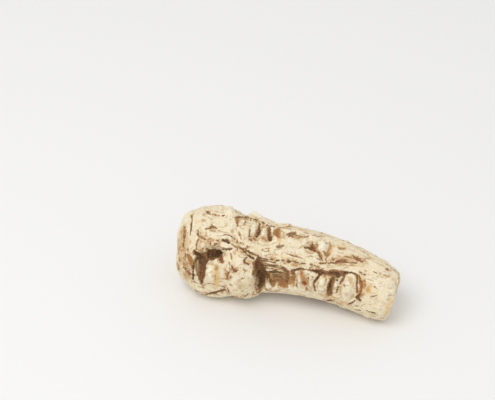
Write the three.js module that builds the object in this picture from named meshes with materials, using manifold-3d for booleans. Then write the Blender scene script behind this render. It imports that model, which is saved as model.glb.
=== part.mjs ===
// A dried dong quai root: a stubby, knobbly taproot with a swollen crown at one end and a cut tail at the
// other. It grew as one piece, so it is one solid. It lies on its side with its length along X: the crown is
// towards -X, the cut tail towards +X, the front towards -Y, and Z is up. Lengths are in millimetres and
// angles in degrees.
//
// It is made as clay would be: a core is drawn out along its stations, lumps are pressed on, hollows are
// scooped out, and then the tail is cut and the underside is flattened where it rests.
import * as THREE from "three";
import { mergeVertices } from "three/addons/utils/BufferGeometryUtils.js";
import Module from "manifold-3d";

const wasm = await Module();
wasm.setup();

// ---------------------------------------------------------------------------------------- driving sizes
// A straight line through the flesh, parallel to X. A place on the root is told by how far along this line
// it is, by the turn about it (0 faces the front, 90 the top, 180 the back) and by how far out it lies.
const AXIS = { across: -1.2, up: 14.0 };

// The middle line of the core, and the half-width (across) and half-height (upright) of the flesh round it.
const STATIONS = [
  { along: -39.9, across: -2.2, up: 15.6, halfWidth: 0.0, halfHeight: 0.0 },
  { along: -39.6, across: -2.2, up: 15.6, halfWidth: 7.6, halfHeight: 8.6 },
  { along: -38.0, across: -2.2, up: 15.4, halfWidth: 11.6, halfHeight: 12.8 },
  { along: -34.0, across: -2.0, up: 15.4, halfWidth: 14.0, halfHeight: 14.8 },
  { along: -28.0, across: -1.8, up: 15.8, halfWidth: 15.2, halfHeight: 15.5 },
  { along: -21.0, across: -1.4, up: 15.8, halfWidth: 15.2, halfHeight: 15.5 },
  { along: -14.0, across: -1.1, up: 15.4, halfWidth: 13.8, halfHeight: 14.6 },
  { along: -7.0, across: -0.7, up: 15.2, halfWidth: 12.7, halfHeight: 13.0 },
  { along: 0.0, across: -0.2, up: 15.2, halfWidth: 11.9, halfHeight: 12.6 },
  { along: 9.0, across: 0.2, up: 14.8, halfWidth: 11.4, halfHeight: 12.2 },
  { along: 18.5, across: 0.0, up: 13.5, halfWidth: 11.0, halfHeight: 11.8 },
  { along: 26.0, across: -1.0, up: 12.2, halfWidth: 10.6, halfHeight: 11.5 },
  { along: 32.5, across: -2.2, up: 11.2, halfWidth: 10.2, halfHeight: 10.9 },
  { along: 37.0, across: -3.2, up: 10.4, halfWidth: 9.5, halfHeight: 10.1 },
  { along: 39.9, across: -3.8, up: 10.2, halfWidth: 8.2, halfHeight: 8.8 },
  { along: 41.4, across: -4.0, up: 10.2, halfWidth: 5.6, halfHeight: 6.2 },
  { along: 42.0, across: -4.0, up: 10.2, halfWidth: 0.0, halfHeight: 0.0 },
];
const RINGS = 56;
const SIDES = 44;

// Lumps and hollows are ellipsoids. size is the half-length along the root, round it, and out from it.
const LUMPS = [
  { name: "corner of the crown", along: -37.0, turn: 76, out: 7.6, size: [3.6, 9.4, 7.8] },
  { name: "shoulder", along: -27.4, turn: 104, out: 11.4, size: [5.6, 8.0, 6.2] },
  { name: "front foot", along: -25.8, turn: -42, out: 8.5, size: [12.5, 9.0, 8.6] },
  { name: "back foot", along: -25.0, turn: -140, out: 9.2, size: [9.0, 8.0, 8.2] },
  { name: "lobe", along: -15.4, turn: 8, out: 8.8, size: [6.8, 11.4, 7.6] },
  { name: "foot of the lobe", along: -14.0, turn: -44, out: 7.8, size: [7.0, 7.0, 7.6] },
  { name: "dome by the crater", along: 12.2, turn: 79, out: 9.2, size: [2.6, 3.2, 3.2] },
];
const HOLLOWS = [
  { name: "left of the knob", along: -27.8, turn: 12, out: 18.6, size: [2.8, 7.6, 5.6] },
  { name: "above the knob", along: -24.0, turn: 38, out: 18.8, size: [5.8, 2.8, 6.2] },
  { name: "pocket behind the lobe", along: -7.4, turn: 0, out: 14.4, size: [3.6, 9.4, 6.4] },
  { name: "trough by the pocket", along: -1.0, turn: 5, out: 13.8, size: [7.0, 6.0, 5.6] },
  { name: "middle of the trough", along: 8.0, turn: 5, out: 13.8, size: [10.0, 6.4, 5.6] },
  { name: "trough by the tail", along: 20.5, turn: 6, out: 14.2, size: [9.0, 8.0, 6.0] },
  { name: "dent behind the shoulder", along: -19.4, turn: 124, out: 20.4, size: [5.6, 14.0, 6.4] },
  { name: "first fold", along: -10.6, turn: 80, out: 15.6, size: [1.2, 4.0, 2.6] },
  { name: "second fold", along: -6.6, turn: 79, out: 14.8, size: [1.3, 4.4, 2.8] },
  { name: "bowl", along: -2.8, turn: 88, out: 14.6, size: [2.6, 2.8, 2.6] },
  { name: "crater", along: 8.4, turn: 78, out: 12.4, size: [2.8, 3.0, 2.4] },
];
const RIBS = [
  { along: 6.3, turn: 3, out: 6.8, size: [1.2, 5.4, 3.4] },
  { along: 10.3, turn: 5, out: 6.8, size: [1.6, 5.6, 3.4] },
  { along: 14.8, turn: 6, out: 6.6, size: [2.3, 5.6, 4.0] },
  { along: 24.0, turn: 4, out: 6.6, size: [2.8, 6.4, 4.4] },
];
const LUMP_SIDES = 18;

// The nub: a short dead rootlet that lies along the top, behind the shoulder.
const NUB = { from: [-15.2, 5.6, 27.6], to: [-9.6, 3.4, 27.6], thick: 1.8, thin: 1.1 };

const TAIL_CUT = { through: [39.4, -3.8, 10.5], normal: [0.98, 0.0, -0.2] };
const FLATTENED = 0.9; // how much of the underside is pressed flat, where it rests

// --------------------------------------------------------------------------------------------- helpers
const radians = THREE.MathUtils.degToRad;

function solid(geometry) {
  const bare = geometry.clone();
  bare.deleteAttribute("normal");
  bare.deleteAttribute("uv");
  const merged = mergeVertices(bare, 1e-4);
  return new wasm.Manifold(
    new wasm.Mesh({
      numProp: 3,
      vertProperties: merged.getAttribute("position").array,
      triVerts: new Uint32Array(merged.index.array),
    }),
  );
}

function geometryOf(manifold) {
  const mesh = manifold.getMesh();
  return new THREE.BufferGeometry()
    .setAttribute("position", new THREE.BufferAttribute(mesh.vertProperties, 3))
    .setIndex(new THREE.BufferAttribute(mesh.triVerts, 1));
}

// ------------------------------------------------------------------------------------------------ core
function coreGeometry() {
  const curve = (points) => new THREE.CatmullRomCurve3(points, false, "centripetal");
  const middle = curve(STATIONS.map((s) => new THREE.Vector3(s.along, s.across, s.up)));
  const flesh = curve(STATIONS.map((s) => new THREE.Vector3(s.along, s.halfWidth, s.halfHeight)));
  // A lathe of radius 1 carries each ring's number as its height, and each ring is then sent to its station.
  const profile = [];
  for (let ring = 0; ring <= RINGS; ring++) {
    profile.push(new THREE.Vector2(ring === 0 || ring === RINGS ? 0 : 1, ring));
  }
  const core = new THREE.LatheGeometry(profile, SIDES);
  const p = core.getAttribute("position");
  for (let i = 0; i < p.count; i++) {
    const share = p.getY(i) / RINGS;
    const m = middle.getPoint(share);
    const f = flesh.getPoint(share);
    p.setXYZ(i, m.x, m.y - p.getX(i) * f.y, m.z + p.getZ(i) * f.z);
  }
  return core;
}

// --------------------------------------------------------------------------------- lumps and hollows
function ellipsoid({ along, turn, out, size }) {
  const [alongHalf, roundHalf, outHalf] = size;
  const geometry = new THREE.SphereGeometry(1, LUMP_SIDES, LUMP_SIDES / 2);
  geometry.scale(alongHalf, roundHalf, outHalf);
  geometry.rotateX(radians(90 - turn));
  const t = radians(turn);
  geometry.translate(along, AXIS.across - out * Math.cos(t), AXIS.up + out * Math.sin(t));
  return solid(geometry);
}

function nub() {
  const from = new THREE.Vector3(...NUB.from);
  const to = new THREE.Vector3(...NUB.to);
  const geometry = new THREE.CapsuleGeometry(NUB.thick, from.distanceTo(to), 5, 14);
  // The capsule stands on Y; its far half is drawn thinner, and then it is laid from one end to the other.
  const p = geometry.getAttribute("position");
  for (let i = 0; i < p.count; i++) {
    const thinning = THREE.MathUtils.smoothstep(p.getY(i), -NUB.thick, from.distanceTo(to) / 2);
    const share = THREE.MathUtils.lerp(1, NUB.thin / NUB.thick, thinning);
    p.setX(i, p.getX(i) * share);
    p.setZ(i, p.getZ(i) * share);
  }
  const direction = to.clone().sub(from).normalize();
  geometry.applyQuaternion(new THREE.Quaternion().setFromUnitVectors(new THREE.Vector3(0, 1, 0), direction));
  const middle = from.clone().lerp(to, 0.5);
  geometry.translate(middle.x, middle.y, middle.z);
  return solid(geometry);
}

// --------------------------------------------------------------------------------------- cut and rest
function tailWaste() {
  const side = 60;
  const normal = new THREE.Vector3(...TAIL_CUT.normal).normalize();
  const geometry = new THREE.BoxGeometry(side, side, side);
  geometry.translate(0, 0, side / 2);
  geometry.applyQuaternion(new THREE.Quaternion().setFromUnitVectors(new THREE.Vector3(0, 0, 1), normal));
  geometry.translate(...TAIL_CUT.through);
  return solid(geometry);
}

function floorWaste(lowest) {
  const side = 200;
  const geometry = new THREE.BoxGeometry(side, side, side);
  geometry.translate(0, 0, lowest + FLATTENED - side / 2);
  return solid(geometry);
}

// ------------------------------------------------------------------------------------------------ root
let root = solid(coreGeometry());
for (const lump of LUMPS) root = root.add(ellipsoid(lump));
for (const hollow of HOLLOWS) root = root.subtract(ellipsoid(hollow));
for (const rib of RIBS) root = root.add(ellipsoid(rib));
root = root.add(nub());
root = root.subtract(tailWaste());
root = root.subtract(floorWaste(root.boundingBox().min[2]));

const mesh = new THREE.Mesh(
  geometryOf(root),
  new THREE.MeshStandardMaterial({ color: 0xe6d6b0, roughness: 0.9, metalness: 0 }),
);
mesh.name = "dong_quai_root";
// The origin is the middle of the root's box, on the surface that it rests on.
const { min, max } = root.boundingBox();
mesh.position.set(-(min[0] + max[0]) / 2, -(min[1] + max[1]) / 2, -min[2]);
const group = new THREE.Group();
group.add(mesh);
export default group;
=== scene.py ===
# %% [markdown]
# # A dried dong quai root
# Dong quai is sold as a whole dried root. It is one piece: a stubby taproot with a swollen, knobbly crown at
# one end and a cut tail at the other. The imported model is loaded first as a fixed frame. It gives the root's
# true size and place, and everything below is built around it, in metres.

# %% Load the frame
import math
import random
import bpy
import numpy as np
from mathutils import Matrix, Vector, noise


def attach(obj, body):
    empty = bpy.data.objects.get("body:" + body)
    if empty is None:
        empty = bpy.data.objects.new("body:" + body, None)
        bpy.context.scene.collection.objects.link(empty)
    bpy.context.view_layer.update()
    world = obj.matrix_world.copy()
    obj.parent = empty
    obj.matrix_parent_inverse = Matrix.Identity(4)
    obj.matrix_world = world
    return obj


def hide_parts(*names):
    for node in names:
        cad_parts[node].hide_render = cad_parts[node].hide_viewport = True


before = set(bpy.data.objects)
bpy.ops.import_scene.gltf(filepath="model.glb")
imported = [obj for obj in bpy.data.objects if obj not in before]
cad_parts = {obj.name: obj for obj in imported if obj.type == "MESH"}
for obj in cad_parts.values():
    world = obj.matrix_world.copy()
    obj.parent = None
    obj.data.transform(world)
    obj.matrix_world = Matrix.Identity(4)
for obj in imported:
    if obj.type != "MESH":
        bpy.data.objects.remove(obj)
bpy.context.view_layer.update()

# %% [markdown]
# ## Camera
# The camera looks down on the root from its front, a little from the right. A long lens far away keeps the
# perspective gentle. Its place is worked out from two angles and a distance, so that the view can be changed
# by changing one number. It aims above and left of the root, which leaves room for the shadow and the white
# floor.

# %% Place the camera
MM = 0.001
AZIMUTH, ELEVATION = math.radians(16), math.radians(38)
DISTANCE = 495 * MM
AIM_LEFT, AIM_ABOVE = 15.3 * MM, 22.32 * MM  # how far the view's middle is from the root's
FLESH_ACROSS, FLESH_UP = 0.63, 13.55  # millimetres: a straight line through the flesh, parallel to X
ROOT_MIDDLE = (-0.15, 1.83, FLESH_UP)  # millimetres

right = Vector((math.cos(AZIMUTH), math.sin(AZIMUTH), 0))
back = Vector((math.sin(AZIMUTH) * math.cos(ELEVATION), -math.cos(AZIMUTH) * math.cos(ELEVATION),
               math.sin(ELEVATION)))
upward = back.cross(right)
middle = Vector(ROOT_MIDDLE) * MM - right * AIM_LEFT + upward * AIM_ABOVE
bpy.ops.object.camera_add(location=middle + back * DISTANCE, rotation=back.to_track_quat("Z", "Y").to_euler())
camera = bpy.context.object
camera.data.lens = 100
camera.data.sensor_width = 36
camera.data.clip_start = 0.01
camera.data.clip_end = 10
bpy.context.scene.camera = camera
print("the camera stands at", [round(v, 3) for v in camera.location])

# %% [markdown]
# ## Floor and light
# A white sweep under a big soft light is the usual way to show a small pale thing. The world itself is white,
# which fills every fold, and one large lamp overhead gives the soft shadow where the root meets the floor.

# %% Lay the floor and hang the lamp
def settle(node, values):
    """Sets a shader node's sockets by their names."""
    for name, value in values.items():
        node.inputs[name].default_value = value


bpy.ops.mesh.primitive_plane_add(size=3, location=(0, 0, 0))
floor = bpy.context.object
floor.name = "floor"
paper = bpy.data.materials.new("white paper")
paper.use_nodes = True
settle(paper.node_tree.nodes["Principled BSDF"], {"Base Color": (0.88, 0.875, 0.865, 1), "Roughness": 0.9})
floor.data.materials.append(paper)

world = bpy.data.worlds.new("white tent")
world.use_nodes = True
settle(world.node_tree.nodes["Background"], {"Color": (1, 1, 1, 1), "Strength": 0.75})
bpy.context.scene.world = world
bpy.context.scene.view_settings.view_transform = "Standard"

LAMP_PLACE = (-0.2, -0.4, 0.8)
bpy.ops.object.light_add(type="AREA", location=LAMP_PLACE)
lamp = bpy.context.object
lamp.name = "overhead light"
lamp.rotation_euler = Vector(LAMP_PLACE).to_track_quat("Z", "Y").to_euler()
lamp.data.shape = "DISK"
lamp.data.size = 0.6
lamp.data.energy = 3
print("the floor is", floor.dimensions.x, "m wide, and the lamp hangs", LAMP_PLACE[2], "m above it")

# %% [markdown]
# ## Clay
# The CAD solid is plain: smooth swellings and scoops with sharp seams where they meet. A copy of it is used
# as clay. A voxel remesh gives it an even skin of small quads, which runs the lumps together, and smoothing
# takes the seams away. The cut at the tail has a worn rim, so a vertex group lets it be smoothed for longer.

# %% Turn a copy of the CAD solid into clay
COARSE = 0.5  # millimetres, the size of the clay's quads
RIM_START = 35.5  # millimetres along the root


def pick(piece):
    """Makes one piece the only one selected, and the active one."""
    bpy.ops.object.select_all(action="DESELECT")
    piece.select_set(True)
    bpy.context.view_layer.objects.active = piece


def modify(piece, kind, **settings):
    """Adds a modifier with these settings and applies it."""
    pick(piece)
    modifier = piece.modifiers.new(kind.lower(), kind)
    for name, value in settings.items():
        setattr(modifier, name, value)
    bpy.ops.object.modifier_apply(modifier=modifier.name)


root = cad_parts["dong_quai_root"].copy()
root.data = root.data.copy()
root.parent = None
for key in list(root.keys()):
    del root[key]
root.name = "root"
root.data.materials.clear()
bpy.context.scene.collection.objects.link(root)
pick(root)
bpy.ops.object.mode_set(mode="EDIT")
bpy.ops.mesh.select_all(action="SELECT")
bpy.ops.mesh.remove_doubles(threshold=0.001 * MM)
bpy.ops.object.mode_set(mode="OBJECT")
modify(root, "REMESH", mode="VOXEL", voxel_size=COARSE * MM)
modify(root, "SMOOTH", factor=0.5, iterations=14)
rim = root.vertex_groups.new(name="rim")
rim.add([vertex.index for vertex in root.data.vertices if vertex.co.x > RIM_START * MM], 1.0, "REPLACE")
modify(root, "SMOOTH", factor=0.5, iterations=90, vertex_group="rim")
print("the clay has", len(root.data.polygons), "faces")

# %% [markdown]
# ## Places on the skin
# A brush would now carve the clay by hand. Here each stroke of the gouge is written down, so that it can be
# read and changed. A place on the root's skin is given by two numbers: how far it is along the root in
# millimetres, from the crown at -40 to the tail at 40, and its turn in degrees about the flesh line, with 0
# at the front, 90 on top and 180 at the back.

# %% Find each vertex's place on the skin
class Skin:
    """The mesh's vertices, in millimetres, and where each one is on the skin."""

    def __init__(self, piece):
        self.mesh = piece.data
        flat = np.empty(len(self.mesh.vertices) * 3)
        self.mesh.vertices.foreach_get("co", flat)
        self.points = flat.reshape(-1, 3) / MM
        self.mesh.vertices.foreach_get("normal", flat)
        self.normals = flat.reshape(-1, 3).copy()
        ends = np.empty(len(self.mesh.edges) * 2, dtype=np.int64)
        self.mesh.edges.foreach_get("vertices", ends)
        self.edges = ends.reshape(-1, 2)
        across = self.points[:, 1] - FLESH_ACROSS
        up = self.points[:, 2] - FLESH_UP
        self.along = self.points[:, 0]
        self.out = np.hypot(across, up)
        self.turn = np.degrees(np.arctan2(up, -across))
        self.facing = self.normals[:, 0]

    def blur(self, values, rounds):
        """Evens out values by averaging each vertex with its neighbours, over and over."""
        first, second = self.edges.T
        count = np.bincount(self.edges.ravel(), minlength=len(self.points))
        values = values.reshape(len(self.points), -1)
        for _ in range(rounds):
            total = [np.bincount(first, column[second], len(count))
                     + np.bincount(second, column[first], len(count)) for column in values.T]
            values = (values + np.stack(total, axis=1) / count[:, None]) / 2
        return values.squeeze()

    def grain(self, size, seed, stretch=1.0, depth=2):
        """Cloudy noise from about -1 to 1, with lumps of this size, drawn out along the root by stretch."""
        places = self.points / (size * stretch, size, size) + seed * 17.3
        return np.array([noise.fractal(place, 1.0, 2.0, depth) for place in places.tolist()])

    def push(self, amount):
        """Moves each vertex outwards along its smoothed normal by its own amount, but not under the floor."""
        straight = self.blur(self.normals, 3)
        straight /= np.linalg.norm(straight, axis=1, keepdims=True)
        self.points += straight * amount[:, None]
        self.points[:, 2] = np.maximum(self.points[:, 2], 0)
        self.mesh.vertices.foreach_set("co", (self.points * MM).ravel())
        self.mesh.update()


skin = Skin(root)
print("the skin lies", round(skin.out.min(), 1), "to", round(skin.out.max(), 1), "mm out from the flesh line")

# %% [markdown]
# ## The gouge
# A stroke runs smoothly through a few places. Its half-width in millimetres is one number, which tapers to
# the ends, or a list that is spread along it. Hollows, cuts and swellings shape the skin, bare strokes also
# keep it clean, and crusts and washes only stain it. The pigments are a dried root's own: the cork is umber
# and brown, and the scraped flesh is cream.

# %% Define pigments and strokes
def pigment(red, green, blue):
    """A colour as a screen is given it, from 0 to 255, turned into light."""
    return np.array([((value / 255 + 0.055) / 1.055) ** 2.4 for value in (red, green, blue)])


SHADOW = pigment(84, 60, 40)
UMBER = pigment(116, 84, 55)
BROWN = pigment(142, 105, 70)
REDDISH = pigment(154, 104, 70)
CORK = pigment(178, 136, 90)
STRAW = pigment(204, 164, 114)
ORANGE = pigment(200, 142, 84)
RUST = pigment(180, 92, 52)
TAN = pigment(208, 178, 134)
YELLOW = pigment(226, 190, 132)
GREY = pigment(150, 132, 108)
CREAM = pigment(238, 224, 191)

strokes = []


def draw(kind, name, places, width, depth, colour):
    """Notes one stroke, to be carved and coloured later."""
    strokes.append(dict(kind=kind, name=name, places=places, width=width, depth=depth, colour=colour))


def hollow(name, places, width, depth, colour=UMBER):
    """A deep scoop into the clay, lined with cork."""
    draw("hollow", name, places, width, depth, colour)


def swell(name, places, width, height):
    """A clean swelling, or a clean dip where the height is negative."""
    draw("swell", name, places, width, -height, None)


def bare(name, places, width, height):
    """Skin that the cork has left clean, between cuts."""
    draw("bare", name, places, width, -height, None)


def cut(name, places, width, depth, colour=BROWN):
    """A fine crack or fold with cork in it, or at a depth of 0 a patch of colour in the cork."""
    draw("cut", name, places, width, depth, colour)


def crust(name, places, width, cover=0, colour=CORK):
    """Broken cork in shallow crumbs; cover above 0 makes it denser, and below 0 sparser."""
    draw("crust", name, places, width, cover, colour)


def wash(name, places, width, colour, strength=0.5):
    """A soft stain in the cream skin, with no shape."""
    draw("wash", name, places, width, strength, colour)


def ring(name, end, radius, width, depth, colour=CORK):
    """A cut round the middle of one end of the root: -1 is the crown's end, 1 the tail's."""
    draw("cut", name, [(40 * end, radius)], width, depth, colour)


def tally():
    """Prints how many strokes there are so far."""
    print(len(strokes), "strokes, down to the", strokes[-1]["name"])


print("cream flesh, as light:", np.round(CREAM, 2))

# %% [markdown]
# ## The crown
# The crown is where the stems grew. Each year's leaves left a ring scar round it, so its side carries short
# broken rings. They are grooves that run round the root, from a turn of about 90 down to 30. Its top is a
# blocky brow, which two swellings and a dip between them make.

# %% Carve the crown
swell("block on brow", [(-24.2, 112), (-22.6, 90)], 3, 1.1)
swell("dip on brow", [(-28.6, 108), (-27.6, 94)], 1.8, -0.6)
swell("dent behind shoulder", [(-20.4, 148), (-19.5, 124), (-19.3, 104)], 2.6, -1.5)
swell("dip behind nub", [(-6.4, 150), (-6, 118)], 2.2, -0.9)
cut("ring scar", [(-36.1, 85), (-35.2, 76), (-34.7, 67), (-34.5, 61), (-34.2, 55)],
    [0.35, 0.25, 0.45, 0.3, 0.2], 0.4)
cut("foot of scar", [(-34.1, 38), (-34, 32)], 0.4, 0.3, CORK)
cut("outer scar", [(-37.3, 66), (-36.7, 59), (-36.4, 53), (-36.3, 47)], [0.4, 0.5, 0.4, 0.3], 0.5, CORK)
cut("thread in outer scar", [(-36.4, 52), (-36.3, 46), (-36.2, 41), (-35.9, 36)], [0.3, 0.35, 0.4, 0.3], 0.4)
wash("olive band", [(-37.4, 42), (-37.2, 28)], 0.9, CORK, 0.8)
cut("inner scar", [(-31.5, 62), (-31.3, 57), (-30.7, 53), (-30.9, 46), (-30.9, 39)],
    [0.25, 0.4, 0.3, 0.25, 0.2], 0.4)
cut("blotch", [(-30.6, 54.5), (-29.4, 53.5), (-28.5, 52.5)], [0.5, 0.6, 0.5], 0.2, CORK)
cut("spot on brow", [(-31, 94), (-30.5, 91), (-29, 87)], [0.4, 0.7, 0.35], 0.3)
cut("line on brow", [(-28.8, 88), (-27.2, 87), (-25.4, 87)], 0.18, 0.25, CORK)
wash("yellow line", [(-29, 88), (-25, 87)], 0.7, YELLOW, 0.6)
cut("dot", [(-24.9, 88), (-24.3, 88.5)], 0.45, 0.3, UMBER)
cut("star", [(-28.9, 65), (-27.8, 66), (-26.8, 69), (-25, 68)], [0.25, 0.35, 0.65, 0.2], 0.35)
cut("arm of star", [(-27.3, 73), (-26.9, 68)], 0.35, 0.3, CORK)
wash("olive blotch", [(-27.4, 52), (-26.4, 50)], 0.9, GREY, 0.5)
cut("red blotch", [(-26.2, 51), (-26, 47)], 0.36, 0.15, REDDISH)
cut("upper twin", [(-24.1, 54), (-23.2, 53)], 0.36, 0.25, CORK)
cut("lower twin", [(-24.8, 48.5), (-23.6, 49.5)], 0.3, 0.3)
cut("dark eye", [(-22.1, 55.5), (-20.9, 55.5), (-19.9, 54)], [0.35, 0.7, 0.55], 0.7, UMBER)
cut("brow of furrow", [(-22, 62), (-20.7, 62.5), (-19.4, 62.5), (-18.1, 59)], 0.24, 0.35)
for along, turn in [(-30.8, 76), (-35.9, 88), (-31.6, 86), (-19.6, 69), (-18.6, 58), (-33.6, 46)]:
    wash("faint spot", [(along, turn + 2), (along, turn - 2)], 0.7, CORK, 0.7)
for along, top, bottom in [(-37.4, 22, 12), (-38, 6, -6), (-35.4, 10, 6)]:
    cut("side scar", [(along, top), (along + 0.3, (top + bottom) / 2), (along, bottom)], 0.3, 0.3, CORK)
cut("brown side scar", [(-34.9, 9), (-34.4, 5)], 0.4, 0.3)
cut("reddish side scar", [(-33.9, 4), (-32.7, -1)], 0.55, 0.3, REDDISH)
cut("purple side scar", [(-34.8, 30), (-34.7, 25)], 0.4, 0.2)
# These tan washes make the crown's side darker.
for along, turn in [(-36.4, 22), (-37.6, 2), (-38.4, 40), (-35.2, 44), (-35, -14), (-37.4, 60), (-33.4, -4)]:
    wash("tan side", [(along, turn + 10), (along, turn - 10)], 1.4, TAN, 0.8)
tally()

# %% [markdown]
# ## The hollow over the knob
# A side root broke off the crown and left a knob, with a deep corky hollow arched over it. The hollow is cut
# first with wide strokes, a roof and a leg down each side of the knob, and thin dark cracks follow its edges.
# Painted shade darkens the cork along the roof's top.

# %% Carve the hollow and the knob
hollow("roof", [(-31, 33), (-27.6, 31), (-25, 35), (-22.8, 38)], [0.8, 1.6, 1.9, 1.1], 2, BROWN)
hollow("left leg", [(-28.8, 27), (-28.8, 12), (-28.7, -1), (-28.3, -12)], [1.9, 1.6, 1.2, 0.4], 1.8, BROWN)
hollow("right leg", [(-22.4, 34), (-21.2, 29)], [0.8, 0.9], 0.9, REDDISH)
cut("corner of roof", [(-31.6, 36), (-30.2, 33), (-29.4, 26)], [0.5, 0.7, 0.5], 0.4, UMBER)
cut("rusty roof", [(-27.4, 41), (-26.4, 37)], 0.7, 0.2, REDDISH)
cut("orange tongue", [(-28.6, 41), (-28.4, 35)], 0.45, -0.2, STRAW)
# dark cork, with painted shade where the hollow lies deepest under the roof's top
cut("dark end", [(-25.6, 33), (-24.3, 35), (-23.1, 42)], [0.7, 1, 0.5], 0.3, SHADOW)
cut("dark seam", [(-26.8, 33), (-26.4, 28), (-27.4, 19)], [0.5, 0.6, 0.3], 0.2, UMBER)
cut("crack over lobe", [(-21.6, 45), (-20.6, 45.2), (-19.6, 46), (-18.5, 47)],
    [0.35, 0.45, 0.3, 0.45], 0.5, SHADOW)
cut("orange leg", [(-29.2, 4), (-28.8, -5)], 0.8, 0, REDDISH)
cut("dark tip", [(-28.4, -8), (-28.2, -12)], 0.4, 0.2, UMBER)
hollow("cork outside", [(-33.8, 29), (-32.4, 23), (-31.6, 14)], [0.6, 1.2, 0.8], 0.4, CORK)
cut("orange outside", [(-33.4, 27), (-31.8, 17)], 0.9, 0, ORANGE)
cut("streak outside", [(-30.6, 30), (-31, 22), (-31.4, 14)], 0.3, 0.3, UMBER)
cut("seam outside", [(-31.4, 15), (-31.5, 8), (-31.5, 0), (-31.8, -10)], [0.3, 0.5, 0.5, 0.3], 0.7, UMBER)
bare("pale rim", [(-30.3, 12), (-30.5, 4), (-30.7, -6)], 0.45, 0.4)
swell("knob", [(-25, 18), (-24.4, 0)], 3.2, 1.3)
wash("brown rim", [(-26.4, 22), (-24.2, 27)], 0.6, CORK, 0.9)
wash("yellow stain", [(-22.8, 26), (-22.7, 10), (-22.7, -16)], 1.3, YELLOW, 0.9)
wash("orange stain", [(-22.8, 22), (-22.8, 17.5)], 0.8, pigment(186, 138, 78), 0.9)
wash("tan streak", [(-23.6, 24), (-25.8, 24)], 0.7, TAN, 0.9)
wash("tan foot", [(-24, -8), (-23.2, -17)], 1.2, YELLOW, 0.6)
cut("crease by lobe", [(-18, 25), (-17.9, 18), (-18.6, 12), (-18.5, 6)], [0.15, 0.3, 0.24, 0.12], 0.4, CORK)
tally()

# %% [markdown]
# ## The lobe and the lip
# Between the knob and the waist stands a rounded lobe, the cleanest part of the root. Its few marks are thin.
# The crown's underside ends in a lip, which a broken crease sets off above the floor.

# %% Mark the lobe and the lip
swell("lobe", [(-15.8, 24), (-15.2, -8)], 4.2, 0.5)
swell("edge of lobe", [(-11, 26), (-10.6, 8), (-10.4, -10), (-10.4, -26)], 1.3, 0.9)
bare("clean edge", [(-11.7, 22), (-11.4, 6), (-11.1, -12), (-11, -28)], 1, 0.1)
cut("dark start", [(-18, 22), (-17.9, 18)], 0.26, 0.3)
cut("zigzag", [(-17.3, 26), (-16.6, 22), (-15.9, 20.5), (-14.9, 22)], [0.25, 0.4, 0.45, 0.2], 0.35)
cut("core of zigzag", [(-16.4, 21), (-15.4, 21.5)], 0.3, 0.3, UMBER)
cut("curl", [(-18.5, 42), (-18, 37), (-17.5, 33)], 0.2, 0.25, CORK)
cut("foot of curl", [(-18.4, 30), (-18.3, 27)], 0.24, 0.25, GREY)
cut("second curl", [(-12.4, 40), (-13.2, 37), (-12.9, 33), (-11.8, 31.5)], [0.3, 0.4, 0.4, 0.25], 0.45)
wash("orange curl", [(-12.2, 37), (-11.4, 34)], 0.7, YELLOW, 0.9)
wash("tan stain", [(-14.4, 6), (-13, -4)], 1.7, TAN, 0.6)
cut("crease", [(-31, -33), (-29, -37), (-26.6, -34), (-24.4, -28), (-22.4, -25), (-20.2, -21)],
    [0.6, 0.85, 0.6, 0.75, 0.6, 0.5], 0.5)
cut("dark crease", [(-24.6, -28), (-22.6, -25)], 0.36, 0.3, UMBER)
cut("end of crease", [(-21.4, -23), (-20.2, -21)], 0.3, 0.4, CORK)
cut("notch", [(-18.9, -13), (-18.6, -20), (-18, -28)], 0.42, 0.5)
cut("lower crease", [(-15.6, -30), (-14, -31), (-12.6, -28), (-11.3, -21)], [0.25, 0.4, 0.5, 0.3], 0.4)
cut("fleck", [(-15.9, -25), (-14.9, -26)], 0.26, 0.2, GREY)
tally()

# %% [markdown]
# ## The furrow and the pocket
# One furrow runs from the dark eye down to the waist, and opens there into a pocket behind the lobe. The
# pocket is the deepest and darkest place on the root, with a rusty upper part.

# %% Carve the furrow and the pocket
cut("head of furrow", [(-19.4, 54), (-18.6, 53), (-17.6, 51), (-16.2, 51)], 0.24, 0.35, CORK)
cut("upper strand", [(-15.6, 50.5), (-14.2, 50), (-12.2, 47.8), (-10.4, 46), (-9, 45.2)],
    [0.35, 0.5, 0.4, 0.35, 0.25], 0.6)
cut("dark start", [(-14.4, 48), (-13.4, 46.5)], 0.42, 0.5, UMBER)
cut("lower strand", [(-14, 47), (-12.6, 44), (-11.6, 41.5), (-10.4, 40)], [0.3, 0.35, 0.4, 0.4], 0.6, UMBER)
cut("seam past pocket", [(-9.2, 43.5), (-7.4, 42.5), (-5.4, 42)], 0.24, 0.5, UMBER)
hollow("pocket", [(-8.6, 38), (-8.1, 16), (-7.8, -4), (-7.9, -24), (-8.4, -38)],
    [1.4, 1.5, 1.4, 1, 0.4], 1.8, BROWN)
cut("bank", [(-9.7, 36), (-9.4, 16), (-9, -4), (-8.9, -22)], [0.7, 0.7, 0.5, 0.4], 0)
cut("rust", [(-9.6, 38), (-9.2, 28)], 0.9, 0, REDDISH)
cut("tan patch", [(-9.9, 14), (-9, 12)], 0.4, -0.1, CORK)
cut("dark edge", [(-9.3, 0), (-9.2, -12), (-9, -28)], 0.3, 0.2, SHADOW)
cut("depth", [(-8.7, -8), (-8.8, -34)], 0.75, 0.4, UMBER)
cut("bar", [(-9.8, 4), (-8.2, 4)], 0.4, 0.3, UMBER)
hollow("neck", [(-7.8, 24), (-6.4, 12), (-5.7, -3)], [1.2, 1.5, 1.1], 1.7, BROWN)
cut("brown above spur", [(-6.4, 12), (-5.4, 2), (-5.3, -6)], [1, 1.4, 1], 0, UMBER)
tally()

# %% [markdown]
# ## The trough
# Along the waist the cork has torn away in strips and left a long trough. Its floor is orange brown and
# fibrous. Cream threads cross its top between dark cracks, which a loop lays side by side.

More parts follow.
